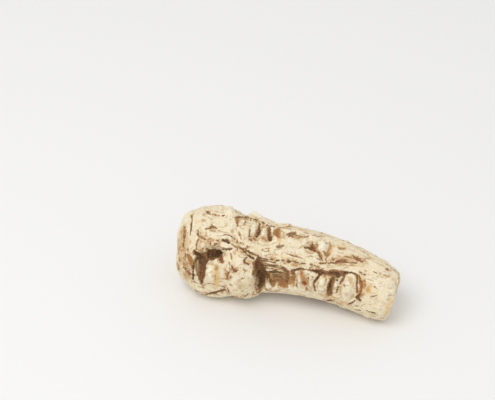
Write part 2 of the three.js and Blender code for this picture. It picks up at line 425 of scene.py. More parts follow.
# %% Carve the trough
hollow("torn cork", [(-7.5, 36), (-3.5, 33), (0.5, 33)], [1.1, 1.4, 0.6], 0.4, TAN)
for turn, start, end, width, colour in [
        (39.5, -8.2, -2.6, 0.3, BROWN), (32, -7.4, -2.2, 0.3, UMBER), (35.6, -6.5, -1.5, 0.2, BROWN),
        (28, -6.6, -2, 0.24, BROWN)]:
    halfway = (start + end) / 2
    cut("dark crack", [(start, turn), (halfway, turn - 1), (end, turn)], width, 0.5, colour)
for turn, start, end in [(37.4, -6.4, 0), (30.2, -6.4, -1.4)]:
    bare("pale thread", [(start, turn), (end, turn - 0.5)], 0.28, 0.3)
hollow("orange floor", [(-4, 11), (-0.6, 6), (2.6, 4)], [2.3, 2.9, 2], 0.55, pigment(208, 162, 106))
cut("light strip", [(-4.4, 10), (-2, 8.5), (0.4, 8)], [0.7, 1.2, 0.8], 0, pigment(250, 220, 158))
cut("seam", [(-7.6, 13), (-5, 20), (-2.2, 24)], 0.48, 0.7, SHADOW)
cut("shade", [(-6.4, 14), (-4.4, 14), (-2, 17), (0, 22)], 0.45, 0.2, UMBER)
cut("brown end", [(0, 32), (1.2, 28), (2.2, 25)], [0.6, 1, 0.5], 0.4, REDDISH)
cut("brown bed", [(-3.6, -6), (-3.1, -14)], 0.9, 0, CORK)
cut("orange foot", [(-1.4, -8), (1, -12)], 1.1, 0, ORANGE)
cut("reddish patch", [(1.1, 15), (1.2, 5), (1.3, -5)], [0.5, 0.65, 0.4], 0.1, REDDISH)
cut("brown patch", [(1.2, 28), (1.7, 20), (1.7, 14)], [0.6, 0.6, 0.3], 0.2)
cut("dark spot", [(1.6, -9), (1.9, -12)], 0.35, 0.2, UMBER)
for turn, start, end, colour in [
        (18, -4.8, -1.2, BROWN), (12, -2, 0.6, CORK), (7, -4.2, -1.4, BROWN), (2, -3.8, -0.6, BROWN),
        (5, -2.2, 1.4, CORK), (-4, -1, 1.6, BROWN), (-7, -4.2, -1.2, BROWN), (-10, -2.8, 2.2, CORK)]:
    cut("fibre", [(start, turn), (end, turn - 1)], 0.22, 0.25, colour)
bare("spur", [(-5.4, -9), (-5.4, -18), (-5.5, -28)], [0.3, 0.9, 1.1], 1.1)
cut("edge of spur", [(-4.3, -2), (-4.2, -12)], 0.26, 0.3, UMBER)
wash("yellow band", [(2.6, 41), (5, 41)], 0.6, ORANGE, 0.8)
cut("orange by first rib", [(3.4, 28), (3.9, 18), (3.5, 6)], [0.7, 0.9, 0.6], 0.1, ORANGE)
cut("left edge", [(3.4, 30), (4.8, 34), (6, 36.5)], [0.4, 0.4, 0.5], 0.5, UMBER)
cut("thin edge", [(6, 37), (7.6, 37), (9.4, 37), (11, 37.5)], [0.45, 0.18, 0.3, 0.4], 0.6)
hollow("right edge", [(10.8, 37.5), (13, 37), (15.4, 37.5), (17.8, 39.5), (20, 42), (22.4, 44.5)],
    [0.45, 1.2, 0.9, 1.4, 1.15, 0.5], 1.1, REDDISH)
cut("dark core", [(16.4, 39), (17.8, 38), (19.4, 36)], [0.4, 0.6, 0.85], 0.4, UMBER)
cut("dark line", [(10.6, 38), (12.4, 36.5), (14.5, 36)], 0.3, 0.3, UMBER)
cut("thin end", [(21.4, 45), (22.8, 46.5), (24.2, 47.5)], [0.4, 0.35, 0.4], 0.4, UMBER)
tally()

# %% [markdown]
# ## The ribs
# Past the trough, folds run round the root like ribs, with creases, a deep recess and an orange groove
# between them. A rusty stain with a red spot in it marks the crease after the second rib.

# %% Carve the ribs
cut("crease before rib two", [(5, 10), (5, 0), (5.3, -13)], 0.22, 0.4, GREY)
cut("brown by first rib", [(3.7, 30), (3.9, 24)], 0.5, 0.3)
swell("rib two", [(6.2, 28), (6, 8), (6.2, -10)], 0.8, 0.6)
wash("orange stain", [(6.4, 37), (6.6, 28), (7.2, 17), (7.7, 4)], 1.1, ORANGE, 1)
wash("rust", [(6.5, 36), (6.5, 25)], 0.6, RUST, 0.6)
cut("red spot", [(7.7, 4), (7.9, -3)], 0.75, 0.2, RUST)
wash("red rim", [(7.5, 12), (7.9, -7)], 1.1, RUST, 0.6)
cut("smudge", [(8.5, -9), (8.8, -15)], 0.35, 0.4)
cut("hair", [(9, 24), (9.2, 18)], 0.2, 0.25, GREY)
wash("tan rib", [(8.4, 20), (8.8, 4)], 0.8, CORK, 0.6)
swell("rib three", [(10, 28), (9.9, 8), (10, -8)], 1, 0.6)
cut("head of crease", [(13.2, 33), (12.6, 27), (12, 20), (11.5, 14)], [0.45, 0.42, 0.36, 0.28], 0.6, UMBER)
cut("crease", [(11.5, 15), (11.3, 5), (11.5, -3), (12, -12)], [0.34, 0.22, 0.36, 0.26], 0.5)
swell("rib four", [(14.4, 24), (13.9, 8), (13.8, -10)], 1.6, 1)
wash("tan top", [(13.8, 32), (15.4, 30)], 1, TAN, 1)
hollow("recess", [(17.9, 31), (17.5, 18), (17.1, 3), (17, -13)], [0.9, 1.1, 1.1, 1.1], 1.3, BROWN)
cut("orange side", [(18, 22), (17.7, 4)], 0.6, 0, ORANGE)
cut("dark head", [(18.8, 40), (19.3, 37), (19.2, 33)], [0.5, 0.75, 0.5], 0.4, SHADOW)
cut("crumb", [(19.3, 28), (19.3, 24)], 0.4, 0.3, UMBER)
cut("dark line", [(16.9, 22), (16.6, 4), (16.5, -6)], 0.26, 0.2, UMBER)
swell("rib five", [(19.2, 16), (18.8, -8)], 0.8, 0.8)
cut("head of rusty line", [(21.6, 40), (21.4, 36)], 0.5, 0.5, SHADOW)
cut("rusty line", [(21.6, 36), (21.3, 31), (20.9, 25), (20.4, 18)], [0.4, 0.34, 0.26, 0.14], 0.5, REDDISH)
cut("faint foot", [(19.9, 12), (19.5, -8)], 0.2, 0.3, CORK)
swell("rib six", [(23.2, 34), (23, 10), (22.8, -14)], 2.2, 1.2)
wash("tan top", [(23.4, 37), (24.4, 32)], 1, STRAW, 0.7)
wash("spot", [(23.2, 9), (23.4, 4)], 1, STRAW, 0.7)
cut("crumbs", [(22.2, 22), (22.8, 20)], 0.2, 0.2, CORK)
cut("dark edge", [(26.2, 42), (26.3, 32), (26.4, 24), (26.7, 15), (26.9, 6)],
    [0.36, 0.28, 0.22, 0.2, 0.2], 0.6)
swell("thin rib", [(27.1, 36), (27.4, 14)], 0.45, 0.5)
cut("head of groove", [(24.2, 48), (25.2, 45.5), (26.2, 42)], [0.35, 0.4, 0.45], 0.5, UMBER)
cut("orange groove", [(26.7, 43), (27.4, 35), (28, 27), (28.2, 18), (27.9, 6)],
    [0.4, 0.45, 0.6, 0.55, 0.5], 0.7, pigment(206, 134, 62))
cut("brown back", [(27.6, 36), (27.7, 30)], 0.3, 0.2)
cut("dark foot", [(27.6, 2), (27.2, -4), (28.4, -7)], [0.6, 0.85, 0.35], 0.7, UMBER)
cut("slanting crack", [(26.5, -9), (25.4, -18), (24.2, -27)], 0.34, 0.5)
wash("orange boss", [(30.6, 27), (30.8, 13)], 1.5, YELLOW, 0.8)
wash("core of boss", [(30.5, 21.5), (30.6, 18.5)], 0.85, pigment(206, 150, 62), 1)
swell("boss", [(30.3, 25), (30.6, 18)], 1.6, 0.5)
tally()

# %% [markdown]
# ## The ridge behind the furrow
# The upper side is a broad cream ridge. Small folds cross it behind the lobe, with a nub, recesses between
# pale ribs, and a shallow orange bowl. The pale ribs are raised, so that the dark recesses between them look
# deep without much cutting.

# %% Carve the ridge
cut("cork", [(-19.6, 90), (-18.8, 94), (-17, 97)], [0.6, 0.7, 0.5], 0.5)
cut("first leg", [(-19.5, 88), (-18.8, 82), (-18.3, 77)], [0.7, 0.55, 0.25], 0.4, CORK)
cut("second leg", [(-16.5, 90), (-16.1, 81)], 0.26, 0.3, CORK)
cut("line to nub", [(-17, 98), (-15.4, 99), (-13, 99)], 0.45, 0.7, SHADOW)
cut("gap under nub", [(-12, 102), (-11, 101), (-9.8, 100)], 0.4, 0.8, SHADOW)
swell("nub", [(-15.9, 112), (-11.6, 111)], 1.8, 0.5)
cut("fleck", [(-15, 94), (-14.6, 94)], 0.3, 0.3, GREY)
cut("thin line", [(-14, 80), (-13.7, 73), (-13.4, 67)], 0.18, 0.4, GREY)
cut("small leg", [(-17.3, 71), (-16.8, 67), (-15.8, 61)], 0.22, 0.25, CORK)
swell("pale rib", [(-13.1, 90), (-12.7, 76)], 1.1, 0.8)
cut("first recess", [(-11.5, 96), (-11.3, 90), (-11.1, 83), (-11.4, 74)], [0.35, 0.4, 0.55, 0.45], 0.7)
cut("crumb", [(-13.1, 65), (-12.3, 64)], 0.4, 0.25, CORK)
cut("second crumb", [(-11.9, 68), (-11.1, 67)], 0.35, 0.25, CORK)
cut("third crumb", [(-10, 63), (-9.5, 62)], 0.28, 0.2, GREY)
swell("second pale rib", [(-9.6, 93), (-9.4, 79)], 0.8, 0.6)
cut("second recess", [(-7.9, 96), (-7.5, 89), (-7.2, 82), (-6.4, 76)], [0.5, 0.6, 0.75, 0.6], 0.6)
cut("dark core", [(-7.4, 83), (-7, 79)], 0.36, 0.3, UMBER)
cut("dark crumb", [(-9.4, 99), (-8.4, 97)], 0.4, 0.4, UMBER)
cut("tan tail", [(-7.2, 75), (-5.8, 73)], 0.4, 0.2, REDDISH)
cut("cork over bowl", [(-8, 100), (-6.4, 100)], [0.4, 0.4], 0.4)
hollow("bowl", [(-5.3, 94), (-4.6, 87)], 1.3, 0.7, ORANGE)
cut("brown mark", [(-5.8, 92), (-5.6, 87)], 0.35, 0.1, CORK)
cut("band", [(-5.4, 99), (-3.7, 96)], 0.4, 0.2, CORK)
bare("pale rim", [(-3.1, 91), (-3, 85)], 0.4, 0.3)
wash("yellow", [(-3.9, 84), (-3.4, 78), (-2.8, 71)], 0.9, YELLOW, 1)
wash("orange", [(-4, 82), (-3.8, 79)], 0.45, ORANGE, 0.9)
cut("lens", [(-3.4, 65), (-2.3, 66), (-1.2, 68)], [0.3, 0.5, 0.35], 0.3, GREY)
cut("third recess", [(-1.2, 92), (0.1, 93), (1.2, 95)], [0.5, 1.15, 0.8], 0.5)
cut("fingers", [(-0.6, 90), (-0.2, 86)], 0.5, 0.2, UMBER)
cut("second finger", [(0.9, 90), (1.2, 86)], 0.4, 0.2)
cut("grey line", [(2, 92.5), (3.9, 93), (5.2, 94), (6.4, 96)], [0.2, 0.36, 0.36, 0.2], 0.4)
cut("end of line", [(7.4, 99), (8.9, 102), (10.2, 105), (12, 110)], 0.28, 0.3, CORK)
cut("second grey line", [(4.6, 103), (5.9, 101)], 0.2, 0.3, GREY)
tally()

# %% [markdown]
# ## The crater
# Further along the ridge a rootlet broke off. It left a round dome and a rusty crater beside it, from which a
# dark leg runs down. The bank before it and the dome behind it are raised, so the crater itself needs little
# depth.

# %% Carve the crater
cut("faint line", [(0.4, 57), (2.4, 56.5), (4.4, 56), (6.3, 55)], 0.18, 0.2, CORK)
cut("dash", [(1.2, 57), (2.4, 56.5)], 0.26, 0.2)
cut("hair", [(8.7, 64), (9.5, 62.5)], 0.24, 0.2, GREY)
swell("bank", [(6.2, 86), (6.8, 76)], 1.8, 0.6)
cut("wing", [(6, 77), (7, 80), (8.2, 81)], [0.3, 0.5, 0.5], 0.4, UMBER)
hollow("crater", [(8.2, 84), (9.9, 83)], [0.9, 1.2], 0.6, REDDISH)
cut("rust", [(9.4, 87), (9.9, 82)], 0.7, 0.1, RUST)
cut("tip", [(8, 89), (8.3, 85)], 0.4, 0.3)
cut("second tip", [(9.7, 90), (9.8, 86)], 0.35, 0.3)
cut("leg", [(9.8, 78), (10.8, 73), (12, 66), (12.8, 62)], [0.7, 0.45, 0.4, 0.3], 0.4)
wash("orange edge", [(11.4, 72), (13.2, 64)], 0.6, ORANGE, 1)
cut("line past leg", [(10.8, 60), (12.2, 60), (13.6, 60)], 0.2, 0.2, GREY)
bare("dome", [(11.9, 90), (12.2, 81)], 2.2, 1.4)
cut("straw line", [(14.2, 98), (14.5, 92), (14.7, 84), (14.6, 77)], [0.2, 0.4, 0.4, 0.2], 0.15, STRAW)
cut("arc", [(13.1, 74), (14.3, 70), (15.2, 75)], [0.25, 0.4, 0.25], 0.3, CORK)
wash("orange arc", [(13.2, 74), (14.4, 70), (15.1, 78), (15, 92)], 0.9, ORANGE, 0.6)
tally()

# %% [markdown]
# ## Towards the tail
# The tail is smooth and pale. Rusty streaks run along its top, short dark nicks lie scattered on it, and the
# knife's cut at the end has a tan edge.

# %% Mark the tail
for start, end, turn, width, colour in [
        (-4.6, -3.8, 43, 0.3, UMBER), (-2.6, -1.8, 44, 0.4, UMBER), (-1, 0.2, 45, 0.26, GREY),
        (1.2, 2.2, 45.5, 0.45, UMBER), (3, 5, 46.5, 0.22, GREY), (6, 7.6, 47.5, 0.22, GREY),
        (9.2, 10, 48, 0.22, GREY)]:
    cut("bead", [(start, turn), (end, turn + 0.3)], width, 0.35, colour)
cut("line over trough", [(10.4, 47.5), (11.6, 46), (12.8, 45)], 0.28, 0.3)
cut("line under streaks", [(12.4, 53), (14, 55), (15.6, 57.5)], 0.22, 0.3)
cut("base of streaks", [(15.8, 58), (17, 59), (18.4, 60)], 0.34, 0.4, UMBER)
cut("rusty streaks", [(18, 63), (19.6, 66), (21.2, 69)], [0.5, 0.8, 0.3], 0.4, REDDISH)
cut("dark end", [(20.8, 66), (22.4, 68), (24.8, 69)], [0.45, 0.3, 0.2], 0.3, UMBER)
cut("spot", [(16.4, 67), (17.2, 66)], 0.4, 0.25, CORK)
cut("rusty wedge", [(23.2, 85), (24.7, 80.5), (26.7, 77)], [0.4, 0.85, 0.3], 0.3, REDDISH)
cut("strand", [(20, 77), (22.2, 79), (24, 79)], 0.28, 0.2, CORK)
wash("rust", [(21.4, 75), (24.4, 81), (27.6, 77)], 1.3, ORANGE, 0.45)
wash("second rust", [(17, 68), (20.4, 73), (24, 74)], 1.2, ORANGE, 0.5)
cut("tan mark", [(17.3, 93), (18.4, 93), (19.6, 97)], 0.4, 0.2, CORK)
wash("tan halo", [(16.8, 93), (19.8, 96)], 1, YELLOW, 0.8)
for along, turn, length, slant in [
        (27, 52, 1.2, 0), (28.2, 49, 1.4, 1), (31.9, 59.5, 1.7, -3), (35.4, 79, 1.4, -2),
        (34.8, 103, 1.6, -3), (37.3, 100, 1.4, -3), (38.3, 110, 1, -4), (36.4, -41, 1, 0),
        (25.6, 110, 1.6, 0)]:
    cut("nick", [(along - length / 2, turn - slant / 2), (along + length / 2, turn + slant / 2)], 0.27, 0.3)
cut("line under boss", [(31.6, 6), (33, 9), (34, 12)], 0.15, 0.2, GREY)
cut("hair", [(32.4, 28), (33.6, 24)], 0.2, 0.2, GREY)
cut("long dash", [(31, -25), (32.2, -27), (33.6, -27)], [0.3, 0.3, 0.5], 0.4, SHADOW)
cut("short dash", [(26.6, -33), (27.6, -33), (28.8, -32)], 0.36, 0.4, SHADOW)
cut("dashes", [(14.8, -35), (16, -35), (17.2, -37), (18.2, -39)], [0.4, 0.3, 0.65, 0.45], 0.4, SHADOW)
cut("lone dash", [(18.7, -32), (19.6, -32)], 0.28, 0.3, CORK)
swell("swelling", [(29, -52), (34, -50)], 2, 0.5)
swell("dent in rim", [(38.8, 16), (38.3, -8)], 1.7, -0.9)
wash("tan edge", [(38.9, 8), (38.4, -12), (37.6, -34)], 1.2, YELLOW, 0.7)
tally()

# %% [markdown]
# ## Crumbs of cork
# Round the hollows the cork has not come away cleanly. It is left as crumbs, which lie thick near an edge and
# thin out. A stroke of crust holds the noted depth near zero, and the material's own noise then breaks it up.

# %% Scatter crumbs round the marks
crust("side of crown", [(-34.4, 32), (-33.6, 18), (-34.2, -6)], [1.2, 1.9, 1.3])
crust("corner of crown", [(-37.4, 60), (-37, 40), (-37, 20)], [0.6, 1.1, 0.8], -0.08)
crust("by inner ring", [(-31, 60), (-29.6, 54), (-30.4, 42)], [0.5, 1, 0.4], -0.11)
crust("under brow", [(-27.4, 50), (-25.4, 50), (-23.4, 51)], [0.9, 0.8, 0.5], -0.12)
crust("roof of hollow", [(-31, 38), (-28, 40)], 0.7, -0.08)
crust("zigzag", [(-17.8, 22), (-15, 22)], 1.1, -0.06)
crust("under zigzag", [(-18.6, 16), (-18.5, 6)], 0.6, -0.06)
crust("lip", [(-30, -36), (-25, -29), (-20, -22)], 0.7, -0.04)
crust("under lobe", [(-15.4, -26), (-12, -25)], 0.8, -0.03)
crust("behind shoulder", [(-19.2, 90), (-17.6, 93), (-16, 97)], [1, 1.2, 0.6], -0.03)
crust("behind pale rib", [(-16, 98), (-12, 99), (-8, 99)], 0.9, -0.03, BROWN)
crust("between recesses", [(-11.4, 94), (-8, 94), (-7, 82)], [0.7, 0.9, 1.1], -0.09)
crust("foot of recesses", [(-13.4, 65), (-11.4, 69), (-7, 74)], 0.8, -0.06)
crust("round bowl", [(-7, 98), (-4.6, 97)], 1, -0.03)
crust("furrow", [(-16, 50), (-12.5, 45), (-9.6, 43)], [0.5, 1, 0.8], -0.03)
crust("round seam", [(-5, 44), (0, 46), (5, 45)], 0.6, -0.08)
crust("third recess", [(-1, 90), (1.6, 90), (5.6, 94)], 0.8, -0.06)
crust("right of floor", [(3.4, 26), (4, 10), (3.6, -8)], 1, -0.05)
crust("round red spot", [(8.2, 20), (8.8, 4), (9.4, -10)], [0.8, 1.1, 1], -0.06)
crust("top of rib four", [(13, 34), (17, 33)], 0.9, -0.03)
crust("foot of ribs", [(14, -18), (19, -24), (25, -30)], 0.8, -0.1)
crust("round groove", [(26.4, 44), (28.6, 30), (28.4, 4)], 0.6, -0.06)
crust("round streaks", [(15, 57), (19, 64), (24, 69)], [0.5, 1.1, 0.5], -0.05)
crust("round wedge", [(22.6, 82), (25.4, 78), (28, 75)], 1, -0.08)
tally()

# %% [markdown]
# ## The back, the underside and the ends
# The rest of the root is made of the same things: scars where rootlets broke off, short cracks, ring scars
# and creases with cork left in them. Each is a small function, with places from a seeded random generator, so
# that the root comes out the same each time.

# %% Define marks for the hidden sides
SEED = 12
RADIUS = 11  # millimetres, about the root's own
chance = random.Random(SEED)


def rootlet_scar(along, turn, size):
    """The dome a rootlet leaves, with a corky hollow on one side of it and an arc on the other."""
    swell("dome of a rootlet", [(along, turn - 3), (along, turn + 3)], size, 0.45 * size)
    side = [(along - 1.3 * size, turn + 4), (along - 1.2 * size, turn - 4)]
    hollow("hollow by a rootlet", side, 0.55 * size, 0.7)
    bow = 7 * size
    arc = [(along + 0.4 * size, turn - bow), (along + 1.2 * size, turn), (along + 0.5 * size, turn + bow)]
    cut("arc of a rootlet", arc, 0.3, 0.4, CORK)


def scatter(name, count, alongs, turns, length, lean, width, depth):
    """Short cracks at random places, leaning this many degrees from the root's own line."""
    for _ in range(count):
        along, turn = chance.uniform(*alongs), chance.uniform(*turns)
        reach = length * chance.uniform(0.5, 1.3) / 2
        tilt = math.radians(lean + chance.gauss(0, 14))
        step, climb = reach * math.cos(tilt), math.degrees(reach * math.sin(tilt) / RADIUS)
        bend = chance.uniform(-3, 3)
        colour = chance.choice((UMBER, BROWN, CORK, CORK))
        ends = [(along - step, turn - climb), (along, turn + bend), (along + step, turn + climb)]
        cut(name, ends, width * chance.uniform(0.7, 1.3), depth, colour)


def patch(name, along, turn, length, width, colour):
    """A shallow torn place, drawn out along the root, with crumbs round it."""
    reach, lean = length / 2, chance.uniform(-6, 6)
    ends = [(along - reach, turn - lean), (along, turn + chance.uniform(-4, 4)), (along + reach, turn + lean)]
    hollow(name, ends, [0.3 * width, width, 0.45 * width], 0.5, colour)
    crust("crumbs round " + name, ends, 1.9 * width, -0.03)


print("the hidden sides are drawn from seed", SEED)

# %% [markdown]
# ## Carving the hidden sides
# One deep hollow and one long furrow answer those in front, so the root looks the same age all round. Torn
# places, creases and rootlet scars come next, and the short cracks last, because there are many of them and a
# later stroke's colour lies over an earlier one's.

# %% Carve the back and the underside
hollow("rear hollow", [(-30, 160), (-27.4, 151), (-24, 155)], [0.6, 1.6, 0.6], 1.4, BROWN)
cut("crack down from rear hollow", [(-26.4, 160), (-25.6, 172), (-26, 186)], 0.5, 0.8, UMBER)
crust("round rear hollow", [(-31, 164), (-27, 152), (-22.6, 158)], 2.2, -0.02)
cut("rear furrow", [(-23, 150), (-12, 156), (0, 150), (12, 158), (24, 154)], 0.4, 0.8, UMBER)
cut("strand of rear furrow", [(-9, 162), (0, 157), (9, 164)], 0.35, 0.6)
crust("along rear furrow", [(-16, 156), (0, 153), (16, 158)], 1.3, -0.07)
for along, turn, length, width, colour in [
        (-12, 186, 5, 1, BROWN), (0, 183, 11, 1.2, STRAW), (-33, 224, 4, 1, CORK), (-6, 243, 9, 1.1, CORK),
        (22, 214, 7, 0.9, STRAW), (10, 282, 8, 1.2, CORK), (-22, 286, 6, 1.1, BROWN),
        (31, 268, 5, 0.8, CORK)]:
    patch("torn place", along, turn, length, width, colour)
for rib in range(6):
    along = 9.5 + 2.9 * rib + chance.uniform(-0.7, 0.7)
    top, length, lean = 177 + chance.uniform(-5, 5), chance.uniform(12, 30), chance.uniform(-1.2, 1.2)
    cut("rear crease", [(along, top), (along + 0.5, top + length / 2), (along + lean, top + length)],
        chance.uniform(0.2, 0.42), 0.7)
    swell("rear rib", [(along + 1.5, top + 2), (along + 1.5, top + length)], 1.1, 0.6)
hollow("hollow underneath", [(-16, 272), (-8, 268), (-2, 272)], [0.8, 1.6, 0.6], 0.9, CORK)
for along, turn, size in [
        (-3, 128, 1.4), (19, 126, 1.1), (-35, 196, 1.3), (27, 184, 1.2), (3, 226, 1.6), (-20, 238, 1.4),
        (14, 262, 1.4), (30, 238, 1.1), (-17, 134, 0.9), (33, 150, 0.8)]:
    rootlet_scar(along, turn, size)
scatter("crack along back", 38, (-30, 36), (118, 225), 4.5, 0, 0.26, 0.4)
scatter("crack underneath", 38, (-32, 36), (225, 305), 4.5, 0, 0.28, 0.4)
scatter("ring scar on back", 16, (-38, -29), (115, 320), 5, 90, 0.28, 0.4)
scatter("nick round tail", 14, (20, 38), (115, 320), 1.6, 20, 0.24, 0.3)
tally()

# %% [markdown]
# ## The two ends
# The crown's end carries the scar where the stem stood, as broken rings about the flesh line. The knife's cut
# at the tail is nearly plain, with one faint ring.

# %% Mark the two ends
for radius, width, depth in [
        (1.4, 0.8, 0.9), (3.6, 0.4, 0.6), (5.6, 0.28, 0.4), (7.1, 0.34, 0.5), (10.2, 0.26, 0.4)]:
    ring("ring of stem scar", -1, radius, width, depth, BROWN if radius < 2 else CORK)
ring("ring in cut", 1, 4.6, 0.3, 0.25, TAN)
tally()

# %% [markdown]
# ## A stroke's spine
# Two or three places alone would make a bent line. A smooth curve is run through all of them, and it is then
# taken as many short straight pieces, because the distance to a straight piece is easy to work out.

# %% Run a smooth spine through places
TAPER = 0.3  # the part of a stroke's width that is left at its tips
CURVE_STEPS = 6


def ease(share):
    """Turns a ramp into a soft one, which starts and ends level."""
    share = np.clip(share, 0, 1)
    return share * share * (3 - 2 * share)


def spine(places, width):
    """Close points on a smooth curve through the places, with the half-width at each of them."""
    knots = [np.array(place, dtype=float) for place in places]
    knots = [2 * knots[0] - knots[1]] + knots + [2 * knots[-1] - knots[-2]]
    points = []
    for before, start, end, after in zip(knots, knots[1:], knots[2:], knots[3:]):
        square, cube = 2 * before - 5 * start + 4 * end - after, 3 * start - before - 3 * end + after
        for t in np.arange(CURVE_STEPS) / CURVE_STEPS:
            points.append(start + ((end - before) * t + square * t ** 2 + cube * t ** 3) / 2)
    points.append(knots[-2])
    share = np.linspace(0, 1, len(points))
    if isinstance(width, list):
        return np.array(points), np.interp(share, np.linspace(0, 1, len(width)), width)
    return np.array(points), width * np.maximum(TAPER, np.sqrt(1 - (2 * share - 1) ** 4))


points, widths = spine([(0, 0), (2, 10), (4, 0)], 1)
print("three places give a spine of", len(points), "points, and its tips are", widths[0], "wide")

# %% [markdown]
# ## How a stroke is felt
# For every vertex near a stroke the script measures how far inside its edge it is, in millimetres along the
# skin. That one number shapes the cut, and later it also tells the material where cork ends and cream begins.
# The vertices' places are first shaken by cloudy noise, so that no edge comes out smooth or straight.

# %% Measure strokes on the skin
END_START = 33  # millimetres along, either way, past which the end faces lie
LEAST_OUT = 2  # millimetres: no skin is taken to be closer to the flesh line


def felt(skin, stroke, reach):
    """The vertices within reach of a stroke, and how far inside its edge each one is."""
    if len(stroke["places"]) == 1:
        # A ring: its one place is its end and its radius. It wanders, and parts of it are left out.
        (end, radius), = stroke["places"]
        side = np.sign(end)
        near = np.flatnonzero((skin.along * side > END_START) & (skin.facing * side > 0.5))
        angle = np.radians(skin.shaken_turn[near])
        wander = 0.13 * radius * np.sin(2 * angle + radius) + 0.25 * np.sin(5 * angle - 2 * radius)
        left = np.clip(0.75 + 0.9 * np.sin(3 * angle + 2.5 * radius), -0.5, 1)
        return near, stroke["width"] * left - np.abs(skin.out[near] + wander - radius)
    points, widths = spine(stroke["places"], stroke["width"])
    middle = points[:, 1].mean()
    turn = (skin.shaken_turn - middle + 180) % 360 - 180
    low, high = points.min(axis=0), points.max(axis=0)
    margin = widths.max() + reach
    slack = np.degrees(margin / np.maximum(skin.out, LEAST_OUT))
    beside = (skin.shaken_along > low[0] - margin) & (skin.shaken_along < high[0] + margin)
    near = np.flatnonzero(beside & (turn > low[1] - middle - slack) & (turn < high[1] - middle + slack))
    along, turn, arc = skin.shaken_along[near], turn[near] + middle, np.radians(skin.out[near])
    inside = np.full(len(near), -np.inf)
    for start, end, wide, wide_end in zip(points, points[1:], widths, widths[1:]):
        step, climb = end[0] - start[0], (end[1] - start[1]) * arc
        right_of, above = along - start[0], (turn - start[1]) * arc
        share = np.clip((right_of * step + above * climb) / (step ** 2 + climb ** 2 + 1e-9), 0, 1)
        away = np.hypot(right_of - share * step, above - share * climb)
        inside = np.maximum(inside, wide + (wide_end - wide) * share - away)
    return near, inside


def shake(skin):
    """Notes the vertices' places with cloudy noise added, for ragged edges."""
    along, across = [0.15 * skin.grain(2.2, seed) + 0.22 * skin.grain(0.8, seed + 1) for seed in (1, 3)]
    skin.shaken_along = skin.along + along
    skin.shaken_turn = skin.turn + np.degrees(across / np.maximum(skin.out, LEAST_OUT))


shake(skin)
print("noise moves the strokes by up to", round(float(np.abs(skin.shaken_along - skin.along).max()), 2), "mm")

# %% [markdown]
# ## First cut: the big forms
# Hollows and swellings are pushed in and out of the coarse clay. Where strokes of one kind overlap, the
# deeper one counts, as it would with a real gouge. The deep banks stretch the quads, so the piece is
# remeshed.

# %% Cut the hollows and raise the swellings
BANK = 1  # millimetres from a hollow's edge to its full depth
LIP, LIP_WIDTH = 0.2, 0.4  # millimetres: the skin curls up a little along every cut
WIDE_NET, FINE_NET = (6, 9, 2.5), (2.6, 10, 2.2)  # creases: their size in millimetres, seed and stretch
CREASE = 0.14  # noise this close to zero makes a crease
CLEAN_TURN, CLEAN_REACH, CLEAN_FADE = 40, 70, 30  # degrees: the scraped side's middle, its reach and its fade
FINE = 0.45  # millimetres, the size of the quads after the first cut


def carve(skin, kinds, bank):
    """How far strokes of these kinds move each vertex, with banks this wide; outwards is positive."""
    sunken, raised, lip = np.zeros((3, len(skin.points)))
    for stroke in strokes:
        if stroke["kind"] not in kinds:
            continue
        near, inside = felt(skin, stroke, 0.3)
        widest = np.max(stroke["width"])
        if stroke["kind"] in ("swell", "bare"):
            lift = -stroke["depth"] * ease(inside / widest)
            raised[near] = np.where(np.abs(lift) > np.abs(raised[near]), lift, raised[near])
        else:
            bottom = stroke["depth"] * ease((inside + 0.1) / min(bank, widest))
            sunken[near] = np.maximum(sunken[near], bottom)
            lip[near] = np.maximum(lip[near], LIP * ease(1 - np.abs(inside + LIP_WIDTH) / LIP_WIDTH))
    return raised - sunken + lip * (sunken == 0)


def creases(skin, size, seed, stretch):
    """1 along a broken net of lines, where cloudy noise changes sign, and 0 away from them."""
    lines = ease(1 - np.abs(skin.grain(size, seed, stretch)) / CREASE)
    return lines * ease(0.5 + 1.6 * skin.grain(1.6 * size, seed + 50))


def scraped(skin):
    """1 where the root was scraped clean, on its upper front, and 0 round the back and underneath."""
    away = np.abs((skin.turn - CLEAN_TURN + 180) % 360 - 180)
    return 1 - ease((away - CLEAN_REACH) / CLEAN_FADE)


rough = 1 - 0.6 * scraped(skin)
forms = carve(skin, ("hollow", "swell", "bare"), BANK)
skin.push(forms + 0.25 * skin.grain(7, 5) - 0.55 * rough * creases(skin, *WIDE_NET))
modify(root, "REMESH", mode="VOXEL", voxel_size=FINE * MM)
modify(root, "SMOOTH", factor=0.5, iterations=3)
print("after the first cut,", len(root.data.polygons), "faces")

# %% [markdown]
# ## Second cut: cracks and fibres
# Thin cracks need smaller quads than smooth skin does. The faces near a groove are picked out and subdivided,
# and the rest stay as they are, which keeps the piece light.

# %% Subdivide near the grooves
NEAR_GROOVE = -0.25  # millimetres from cork at which the smaller quads start


def cork_depth(skin):
    """How far inside cork each vertex is, in millimetres; negative in clean skin."""
    depth = np.full(len(skin.points), -3.0)
    for stroke in strokes:
        if stroke["kind"] in ("hollow", "cut", "crust"):
            near, inside = felt(skin, stroke, 2.0)
            if stroke["kind"] == "crust":
                inside = np.minimum(inside * 0.6, stroke["depth"])
            depth[near] = np.maximum(depth[near], inside)
    for stroke in strokes:
        if stroke["kind"] == "bare":
            near, inside = felt(skin, stroke, 0.5)
            depth[near] = np.minimum(depth[near], -inside)
    return depth


